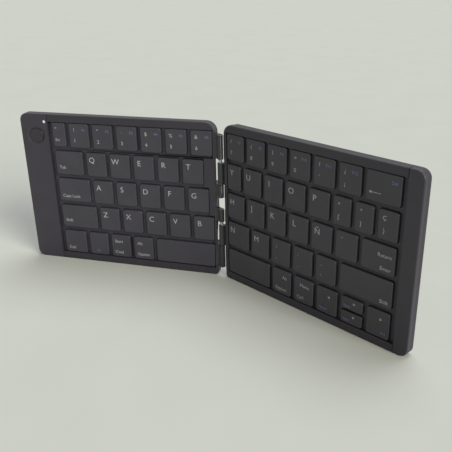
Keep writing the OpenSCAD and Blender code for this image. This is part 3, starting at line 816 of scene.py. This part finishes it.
def side_panel(side):
    low, high = bench_box(side + "_side_panel", side)
    split = bench_box(side + "_bottom_cover", side)[1].z
    if side == "left":
        high.x -= PANEL_SEAM
    else:
        low.x += PANEL_SEAM
    panel = block(side + "_end_panel", (low.x, low.y, split), high)
    inner, outer = ends(side, low, high)
    for y in (low.y, high.y):
        round_corner(panel, outer, y, OUTER_R, 12)
    round_rim(panel, high.z, TOP_ROUND, 5, inner)
    hollow(panel, split, PANEL_WALL, high.z - PANEL_T - split)
    if side == "left":
        r = BUTTON_R + BUTTON_PLAY
        lip = [(r + RING_W + RING_LIP * t, high.z - RING_T * (1 - rise))
               for t, rise in ((0, 0), (0.1, 0.05), (0.9, 0.95), (1, 1))]
        light = bench_box("status_light", "left")
        cut(panel, [
            turned("button_hole", [(0, split), (r, split), (r, high.z - RING_T), *lip,
                                   (lip[-1][0], high.z + MM), (0, high.z + MM)],
                   centre_of(bench_box("power_button", "left")), 72),
            peg("light_hole", (light[1].x - light[0].x) / 2, split, high.z + MM, centre_of(light), 32),
            port_tool(PORT_PLAY, low.x - MM)])
    soften(panel)
    dress(panel, side, "side_panel", side + "_side_panel")


def cap_boxes(side):
    return [box for key in KEYS if side_of(key) == side for box in bench_parts(key, side)]


def key_rows(side):
    """The caps' boxes in rows, space bar row first; the two half keys stand in one row."""
    rows = []
    for box in sorted(cap_boxes(side), key=lambda box: box[0].y):
        if rows and box[0].y < rows[-1][0][0].y + ROW_PITCH / 2:
            rows[-1].append(box)
        else:
            rows.append([box])
    return rows


def key_wells(side, panel, depth):
    """Cutters that sink the frame round each row of caps, out to the side panel."""
    rows = key_rows(side)
    bottoms = [min(low.y for low, high in row) for row in rows]
    tops = [max(high.y for low, high in row) for row in rows]
    between = [(bottom + top) / 2 for bottom, top in zip(bottoms[1:], tops)]
    starts = [bottoms[0] - RIM_STEP] + [y - HAIR for y in between]
    stops = [y + HAIR for y in between] + [tops[-1] + RIM_STEP]
    wells = []
    for row, start, stop in zip(rows, starts, stops):
        inner = min(abs(x) for low, high in row for x in (low.x, high.x)) - RIM_STEP
        wells.append(upright_block("well", side, (inner, abs(panel) + MM), (start, stop), depth))
    return wells


def key_frame(side):
    low, high = bench_box(side + "_key_frame", side)
    split = bench_box(side + "_bottom_cover", side)[1].z
    deck = block(side + "_deck", (low.x, low.y, split), high)
    hinge, panel = ends(side, low, high)
    round_corner(deck, hinge, low.y, HINGE_FRONT_R, 8)
    round_corner(deck, hinge, high.y, HINGE_REAR_R, 14)
    round_rim(deck, high.z, TOP_ROUND, 5, panel)
    if side == "right":
        combine(deck, hinge_lips(split, high.z), "UNION")
    cut(deck, key_wells(side, panel, (DECK_H, high.z + MM)))
    windows = []
    for a, b in cap_boxes(side):
        window = block("window", (a.x - CAP_PLAY, a.y - CAP_PLAY, split - MM),
                       (b.x + CAP_PLAY, b.y + CAP_PLAY, high.z + MM))
        round_edges(window, CAP_R + CAP_PLAY, 5, lambda p, q: near(p.x, q.x) and near(p.y, q.y))
        windows.append(window)
    windows += knuckle_notches(side, WEB_T, (split - MM, high.z + MM))
    if side == "left":
        windows += leaning_cuts(high.z)
    cut(deck, windows)
    soften(deck)
    dress(deck, side, "frame", side + "_key_frame")


# ---- keys ----

def master_cap(w, d, low, top):
    """One cap about the origin, w by d, made once; the others are stretched from it."""
    cap = block("master_cap", (-w / 2, -d / 2, low), (w / 2, d / 2, top))
    round_corners(cap, Vector((-w / 2, -d / 2)), Vector((w / 2, d / 2)), CAP_R, 6)
    hollow(cap, low, CAP_WALL, top - CAP_WALL - low)
    round_rim(cap, top, CAP_EDGE, 4)
    flat = (w / 2 - CAP_EDGE, d / 2 - CAP_EDGE)
    bpy.ops.object.mode_set(mode="EDIT")
    for axis, way in ((0, (1, 0, 0)), (1, (0, 1, 0))):
        for share in DISH_LINES:
            select_all()
            bpy.ops.mesh.bisect(plane_co=[share * flat[axis] * a for a in way], plane_no=way)
    done()
    for point in cap.data.vertices:
        if near(point.co.z, top):
            edge = [max(0.0, 1 - (point.co[axis] / flat[axis]) ** 2) for axis in (0, 1)]
            point.co.z -= DISH * min(edge) ** 0.5 * max(edge) ** 0.25
    return cap


def fit_cap(cap, box):
    """Stretches a copy of the master cap to a box, without touching its corners or edges."""
    low, high = box
    points = np.array([v.co for v in cap.data.vertices])
    middle = (low + high) / 2
    for axis in (0, 1):
        had = points[:, axis].max() - CAP_KEEP
        has = (high - low)[axis] / 2 - CAP_KEEP
        out = np.maximum(np.abs(points[:, axis]) - had, 0)
        within = np.minimum(np.abs(points[:, axis]), had) * has / had
        points[:, axis] = np.sign(points[:, axis]) * (within + out) + middle[axis]
    cap.data.vertices.foreach_set("co", points.ravel())
    cap.data.update()
    return cap


def legend(text, x, y, height, align):
    """Flat lettering above the board, with its middle at (x, y)."""
    bpy.ops.object.text_add(location=(0, 0, 0))
    letters = bpy.context.object.data
    letters.body = text
    letters.size = height * TYPE_SIZE
    letters.resolution_u = 3
    letters.align_x = align
    letters.align_y = "CENTER"
    letters.fill_mode = "FRONT"
    bpy.ops.object.convert(target="MESH")
    return move(bpy.context.object, (x, y, PRINT_FROM))


def arrow(x, y, turn, size, tail):
    """Flat arrow head about (x, y), that points up the board turned by so many degrees."""
    bpy.ops.mesh.primitive_circle_add(vertices=3, radius=size, fill_type="NGON")
    parts = [bpy.context.object]
    if tail:
        share, length = TAIL
        bpy.ops.mesh.primitive_plane_add(size=1, location=(0, -length / 2, 0))
        bpy.context.object.scale = (share * size, length, 1)
        parts.append(bpy.context.object)
    for part in parts:
        select_only(part)
        settle(location=True, scale=True)
        if part.data.polygons[0].normal.z < 0:
            part.data.flip_normals()
    made = joined("arrow", parts)
    made.rotation_euler.z = radians(turn)
    settle(rotation=True)
    return move(made, (x, y, PRINT_FROM))


# Where a legend stands on a cap, in millimetres from its left edge, or from its right edge if less
# than 0, and from its top edge; and how tall it is
LETTER = (3.5, 4.7, 3.4)
UPPER = (3.3, 4.0, 2.2)
LOWER = (3.3, 10.4, 2.2)
SECOND = (-1.9, 3.9, 1.7)
WORD = (2.0, 11.6, 2.0)
WORD_MID = (2.0, 10.2, 2.0)
HEAD = (2.2, 4.4, 2.0)
HEAD_RIGHT = (-2.6, 4.4, 2.0)
WORD_RIGHT = (-1.8, 12.0, 2.0)
ARROWS = {"left": 90, "up": 0, "down": 180, "right": -90}

DIGITS = [[(digit, LOWER), (sign, UPPER), ("F%d" % (i + 1), SECOND)] for i, (digit, sign) in
          enumerate(zip("1234567890'\u00a1", '!"\u00b7$%&/()=?\u00bf'))]

LEGENDS = {
    "key_escape": [[("Esc", (1.5, 10.4, 1.6)), ("\u00ba", (2.4, 3.8, 2.0))]],
    "keys_left_digits": DIGITS[:6],
    "key_tab": [[("Tab", WORD_MID)]],
    "key_caps_lock": [[("Caps Lock", (2.0, 11.2, 2.0))]],
    "key_left_shift": [[("Shift", WORD_MID)]],
    "key_left_ctrl": [[("Ctrl", WORD)]],
    "key_function": [[("Fn", (4.6, 12.0, 1.7))]],
    "key_command": [[("Cmd", WORD), ("Start", HEAD)]],
    "key_left_alt": [[("Option", WORD), ("Alt", HEAD)]],
    "keys_right_digits": DIGITS[6:],
    "key_backspace": [[("left", (2.6, 10.4, 0.9)), ("Del", SECOND)]],
    "key_bracket_open": [[("[", LOWER), ("^", UPPER)]],
    "key_bracket_close": [[("]", LOWER), ("*", UPPER)]],
    "key_backslash": [[("}", LOWER), ("\u00c7", UPPER)]],
    "key_enter": [[("Return", (-1.8, 5.4, 2.0)), ("Enter", WORD_RIGHT)]],
    "keys_right_low_letters": [[("N", LETTER)], [("M", LETTER)], [(",", LOWER), (";", UPPER)],
                               [(".", LOWER), (":", UPPER)], [("-", LOWER), ("_", UPPER)]],
    "key_right_shift": [[("Shift", WORD_RIGHT)]],
    "key_right_alt": [[("Option", WORD), ("Alt", HEAD_RIGHT)]],
    "key_right_ctrl": [[("Ctrl", WORD), ("Menu", HEAD_RIGHT)]],
    "key_arrow_left": [[("left", (-5.0, 4.6, 0.9)), ("Home", (1.6, 11.8, 1.4))]],
    "key_arrow_up": [[("up", (-5.0, 2.6, 0.9)), ("PgUp", (1.6, 4.8, 1.3))]],
    "key_arrow_down": [[("down", (-5.0, 2.2, 0.9)), ("PgDn", (1.6, 4.6, 1.3))]],
    "key_arrow_right": [[("right", (-5.0, 4.6, 0.9)), ("End", (-1.8, 11.8, 1.4))]],
}
for row, letters in (("left_top", "QWERT"), ("left_home", "ASDFG"), ("left_low", "ZXCVB"),
                     ("right_top", "YUIOP"), ("right_home", "HJKL\u00d1\u00b4")):
    LEGENDS["keys_%s_letters" % row] = [[(letter, LETTER)] for letter in letters]
BLUE_LEGENDS = {"Del", "Home", "PgUp", "PgDn", "End", "Fn"} | {"F%d" % i for i in range(1, 13)}


def print_legends(key, boxes):
    """A key's legends, each flat above its place on its cap."""
    made = []
    for (low, high), marks in zip(boxes, LEGENDS.get(key, [])):
        for text, (across, down, height) in marks:
            x = across * MM + (low.x if across > 0 else high.x)
            y = high.y - down * MM
            if text in ARROWS:
                glyph = arrow(x, y, ARROWS[text], height * MM, key == "key_backspace")
            else:
                align = "RIGHT" if across < 0 else "CENTER" if len(text) == 1 else "LEFT"
                glyph = legend(text, x, y, height * MM, align)
            glyph.data.materials.append(BLUE_INK if text in BLUE_LEGENDS else INK)
            made.append(glyph)
    return made


def key_caps():
    low, high = bench_parts("keys_left_top_letters", "left")[0]
    master = master_cap(high.x - low.x, high.y - low.y, low.z, high.z)
    for key in KEYS:
        side = side_of(key)
        boxes = bench_parts(key, side)
        name = key.replace("keys_", "caps_").replace("key_", "cap_")
        caps = joined(name, [fit_cap(copy_of(master, "cap"), box) for box in boxes])
        smooth(caps)
        paint(caps, "key_cap")
        marks = print_legends(key, boxes)
        if marks:
            ink = joined("ink", marks)
            finish_with(ink, "SHRINKWRAP", target=caps, wrap_method="PROJECT", use_project_x=False,
                        use_project_y=False, use_project_z=True, use_negative_direction=True,
                        use_positive_direction=False, offset=INK_T)
            finish_with(ink, "SOLIDIFY", thickness=INK_T, offset=-1)
            caps = joined(name, [caps, ink])
        place(caps, side, key, "key_cap", key)
    bpy.data.objects.remove(master)


# ---- under the keys ----

def loose_copies(node):
    """The loose parts of a CAD node, each copied to a piece of its own."""
    whole = bpy.data.objects.new(node + "_copy", frame["nodes"][node].data.copy())
    bpy.context.scene.collection.objects.link(whole)
    before = set(bpy.data.objects)
    select_only(whole)
    bpy.ops.mesh.customdata_custom_splitnormals_clear()
    edit_all(whole)
    bpy.ops.mesh.remove_doubles(threshold=NEAR)
    bpy.ops.mesh.separate(type="LOOSE")
    done()
    return [whole] + [part for part in bpy.data.objects if part not in before]


def give_under(piece):
    """Gives a seated piece a mesh of its own."""
    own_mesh(piece)


def middle_of(piece):
    return Vector(np.mean([point.co for point in piece.data.vertices], axis=0))


def under_keys(side, kind, slot_name):
    """Domes or links of a half, sorted to their keys."""
    node = side + "_" + kind
    to_bench = SEAT[side].inverted()
    parts = [(to_bench @ middle_of(part), part) for part in loose_copies(node)]
    for key in KEYS:
        if side_of(key) != side:
            continue
        own = [part for low, high in bench_parts(key, side) for middle, part in parts
               if low.x < middle.x < high.x and low.y < middle.y < high.y]
        if not own:
            continue
        piece = smooth(joined(kind + "_under_" + key.replace("keys_", "").replace("key_", ""), own))
        paint(piece, slot_name)
        ride_for(piece, side + "_half", slot_name, node)
        give_under(piece)


# ---- hinge ----

def knuckle(side, start, end):
    """A barrel on a web with a sloping underside and a tongue into its half."""
    edge = hinge_edge(side)
    rim = bench_box(side + "_key_frame", side)[1].z
    bore = PIN_R if side == "left" else PIN_R + PIN_PLAY
    web = upright_block("web", side, (0, edge + WEB_T), (start, end), (FLOOR, rim))
    shoulder = Vector((OUTWARD[side] * edge, 0, SHOULDER_H))
    chin = Vector((0, 0, AXIS_H - KNUCKLE_R))
    run = (shoulder - chin).normalized()
    edit_all(web)
    bpy.ops.mesh.bisect(plane_co=chin, plane_no=run.cross(UP_BOARD) * OUTWARD[side],
                        use_fill=True, clear_outer=False, clear_inner=True)
    done()
    tongue = upright_block("tongue", side, (edge, edge + WEB_T - HAIR), (start, end),
                           (FLOOR, rim / 2))
    barrel = tube("barrel", bore, KNUCKLE_R, start, end, KNUCKLE_CHAMFER, 56)
    room_in = peg("room", bore + SKIN, start - MM, end + MM, (0, 0, AXIS_H), 56, UP_BOARD)
    combine(web, [tongue], "UNION")
    cut(web, [room_in])
    combine(web, [barrel], "UNION")
    return web


def hinge_brackets(side):
    """Knuckles and feet, one bracket for each group of knuckles."""
    root = hinge_edge(side) + WALL
    reach = FOOT_REACH[side]
    pieces = []
    for way in (1, -1):
        for i in OWN_KNUCKLES[side]:
            start, end = knuckle_ends(side, i, way)
            pieces.append(knuckle(side, start + KNUCKLE_PLAY / 2, end - KNUCKLE_PLAY / 2))
        spans = [knuckle_span(i, way) for i in OWN_KNUCKLES[side]]
        pieces.append(upright_block("foot", side, (root, root + FOOT_W),
                                    (min(s[0] for s in spans) - reach, max(s[1] for s in spans) + reach),
                                    (FLOOR, FLOOR + PLATE_T)))
    bracket = soften(joined(side + "_hinge", pieces), BRACKET_EDGE, 2, 40)
    dress(bracket, side, "hinge_paint", side + "_hinge_brackets")


def pins():
    pair = joined("pins", [tube("pin", CABLE_R, PIN_R, low.y, high.y, PIN_CHAMFER, 40)
                           for low, high in bench_parts("hinge_pins", "left")])
    dress(smooth(pair, 30), "left", "pin_steel", "hinge_pins")


# ---- fittings ----

def feet(side):
    pads = []
    for box in bench_parts(side + "_feet", side):
        pads.append(pad_tool(box, 0))
        round_rim(pads[-1], box[0].z, PAD_ROUND, 4)
    dress(smooth(joined(side + "_pads", pads)), side, "foot_rubber", side + "_feet")


def screws(side):
    """Countersunk screws with a cross recess, made once and copied."""
    top = bench_box(side + "_screws", side)[1].z
    screw = turned("screw", [
        (0, SCREW_SUNK), (SCREW_HEAD_R - SCREW_BREAK, SCREW_SUNK),
        (SCREW_HEAD_R, SCREW_SUNK + SCREW_BREAK), (SCREW_R, SCREW_SUNK + SCREW_CONE),
        (SCREW_R, top - SCREW_TIP), (SCREW_R - SCREW_TIP, top), (0, top)], (0, 0, 0), 32)
    cut(screw, [block("arm", (-x, -y, -MM), (x, y, SCREW_SUNK + CROSS_DEPTH))
                for x, y in (CROSS, CROSS[::-1])])
    soften(screw, SCREW_EDGE, 1, 40)
    copies = [move(copy_of(screw, "screw"), centre) for centre in screw_places(side)]
    bpy.data.objects.remove(screw)
    dress(joined(side + "_cover_screws", copies), side, "screw_steel", side + "_screws")


def power_button():
    low, high = bench_box("power_button", "left")
    r = BUTTON_R
    flange = (high.x - low.x) / 2
    flange_top = high.z - PANEL_T - FLANGE_PLAY
    flange_n = flange_top - FLANGE_T
    dish = [(r * t, high.z - BUTTON_DISH * (1 - t * t) - BUTTON_SUNK)
            for t in (0.9, 0.75, 0.6, 0.45, 0.3, 0.15, 0)]
    button = smooth(turned("round_button", [
        (0, low.z), (BUTTON_STEM_R, low.z), (BUTTON_STEM_R, flange_n), (flange, flange_n),
        (flange, flange_top), (r, flange_top), (r, high.z - BUTTON_EDGE),
        (r - BUTTON_BREAK, high.z - BUTTON_BREAK), (r - BUTTON_EDGE, high.z), *dish],
        centre_of((low, high)), 72))
    paint(button, "button")
    place(button, "left", "power_button", "button", "power_button")


def button_switch():
    """Switch on the board: a crimped can round a plunger that gives under the button."""
    low, high = bench_box("button_switch", "left")
    centre = centre_of((low, high))
    seat = low.z + PLUNGER_PLAY
    can = block("switch_can", low, (high.x, high.y, low.z + SWITCH_H))
    round_corners(can, low, high, SWITCH_R, 4)
    round_rim(can, low.z + SWITCH_H, CRIMP, 2)
    cut(can, [peg("room", PLUNGER_R + PLUNGER_PLAY, seat, high.z, centre, 32)])
    dress(smooth(can), "left", "sheet_steel", "button_switch")
    plunger = smooth(turned("switch_plunger", [
        (0, seat), (PLUNGER_R, seat), (PLUNGER_R, high.z - CRIMP), (PLUNGER_R - CRIMP, high.z),
        (0, high.z)], centre, 32))
    paint(plunger, "link_plastic")
    place(plunger, "left", "left_half", "sheet_steel", "button_switch")
    give_under(plunger)


def status_light():
    low, high = bench_box("status_light", "left")
    r = (high.x - low.x) / 2
    top = [(share * r, high.z - drop * MM) for share, drop in LIGHT_TOP]
    pipe = turned("light_dome", [(0, low.z), (r, low.z), *top], centre_of((low, high)), 32)
    dress(smooth(pipe), "left", "light_pipe", "status_light")


def charging_socket():
    low, high = bench_box("charging_port", "left")
    shell = port_tool(0, low.x)
    pick(shell, "FACE", lambda centre, normal: normal.x < -0.99)
    bpy.ops.mesh.inset(thickness=PORT_WALL, depth=0)
    bpy.ops.mesh.extrude_region_move(TRANSFORM_OT_translate={"value": (PORT_DEPTH, 0, 0)})
    done()
    middle = (low + high) / 2
    tongue = block("tongue", (low.x + TONGUE_FROM, middle.y - TONGUE[0], middle.z - TONGUE[1]),
                   (high.x - TONGUE_TO, middle.y + TONGUE[0], middle.z + TONGUE[1]))
    socket = soften(joined("socket", [shell, tongue]), PORT_EDGE, 2, 40)
    dress(socket, "left", "pin_steel", "charging_port")


def inner_pieces():
    """What lies under the keys and panels keeps its solid and gets its finish."""
    finishes = {"main_board": "board", "battery": "cell_foil", "hinge_cable": "wire_jacket"}
    for side in OUTWARD:
        finishes[side + "_backplate"] = "sheet_steel"
        finishes[side + "_membrane"] = "membrane"
        finishes[side + "_magnets"] = "magnet_plate"
    for node, slot_name in finishes.items():
        paint(frame["nodes"][node], slot_name)


# ---- studio ----

GROUND = 8  # metres across
GLOW = (0.125, 0.65)  # strength of the room's light on the set, and as it is seen
TINT = ((0.98, 0.92, 1, 1), (0.97, 0.99, 0.9, 1))
LENS = 51.4  # millimetres, on a 36 mm sensor
CAMERA_AT = (0.18065, -0.28125, 0.18055)
CAMERA_RIGHT = (0.8599, 0.5101, -0.019)
CAMERA_AHEAD = (-0.4753, 0.7866, -0.3941)


def in_scene(name, data):
    made = bpy.data.objects.new(name, data)
    bpy.context.scene.collection.objects.link(made)
    return made


def floor():
    bpy.ops.mesh.primitive_plane_add(size=GROUND, location=(0, 0, 0))
    ground = fresh("floor")
    n = Nodes("floor_card")
    tone = n.mix(n.ranged(n.noise(0.05, 3.0), 0.3, 0.7), rgb(208, 210, 197), rgb(211, 213, 200))
    n.set(Base_Color=tone, Roughness=0.9)
    ground.data.materials.append(n.material)


def soft_sun(name, azimuth, elevation, strength, spread, colour):
    """A wide, far softbox, azimuth 0 being straight in front of the object."""
    lamp = bpy.data.lights.new(name, "SUN")
    lamp.energy = strength
    lamp.angle = radians(spread)
    lamp.color = colour
    made = in_scene(name, lamp)
    a, e = radians(azimuth), radians(elevation)
    way = Vector((sin(a) * cos(e), -cos(a) * cos(e), sin(e)))
    made.location = way
    made.rotation_euler = way.to_track_quat("Z", "Y").to_euler()


def room():
    """A pale room that is brighter to look at than it lights the set."""
    world = bpy.data.worlds.new("room")
    bpy.context.scene.world = world
    world.use_nodes = True
    tree = world.node_tree
    background = tree.nodes["Background"].inputs
    path = tree.nodes.new("ShaderNodeLightPath").outputs
    seen = path["Is Camera Ray"]
    for ray in ("Is Glossy Ray", "Is Transmission Ray"):
        either = tree.nodes.new("ShaderNodeMath")
        either.operation = "MAXIMUM"
        tree.links.new(seen, either.inputs[0])
        tree.links.new(path[ray], either.inputs[1])
        seen = either.outputs[0]
    strength = tree.nodes.new("ShaderNodeMapRange")
    strength.inputs["To Min"].default_value, strength.inputs["To Max"].default_value = GLOW
    tree.links.new(seen, strength.inputs["Value"])
    tree.links.new(strength.outputs["Result"], background["Strength"])
    tint = tree.nodes.new("ShaderNodeMix")
    tint.data_type = "RGBA"
    tree.links.new(seen, tint.inputs["Factor"])
    tint.inputs[6].default_value, tint.inputs[7].default_value = TINT
    tree.links.new(tint.outputs[2], background["Color"])


def camera():
    """The photograph's view, closer up."""
    lens = bpy.data.cameras.new("camera")
    lens.lens = LENS
    lens.sensor_width = 36
    lens.clip_start = 0.01
    made = in_scene("camera", lens)
    ahead = Vector(CAMERA_AHEAD).normalized()
    up = Vector(CAMERA_RIGHT).cross(ahead).normalized()
    turn = Matrix((ahead.cross(up), up, -ahead)).transposed().to_4x4()
    made.matrix_world = Matrix.Translation(CAMERA_AT) @ turn
    bpy.context.scene.camera = made


camera()
for half in ("left", "right"):
    back_cover(half)
    side_panel(half)
    key_frame(half)
    hinge_brackets(half)
    feet(half)
    screws(half)
key_caps()
for half in ("left", "right"):
    under_keys(half, "domes", "dome_rubber")
    under_keys(half, "scissors", "link_plastic")
pins()
power_button()
button_switch()
status_light()
charging_socket()
inner_pieces()
floor()
soft_sun("key_light", 70, 25, 2.85, 32, (1, 0.99, 0.96))
soft_sun("top_light", 172, 70, 1.55, 40, (0.88, 0.92, 1))
room()
bpy.context.scene.view_settings.view_transform = "Standard"
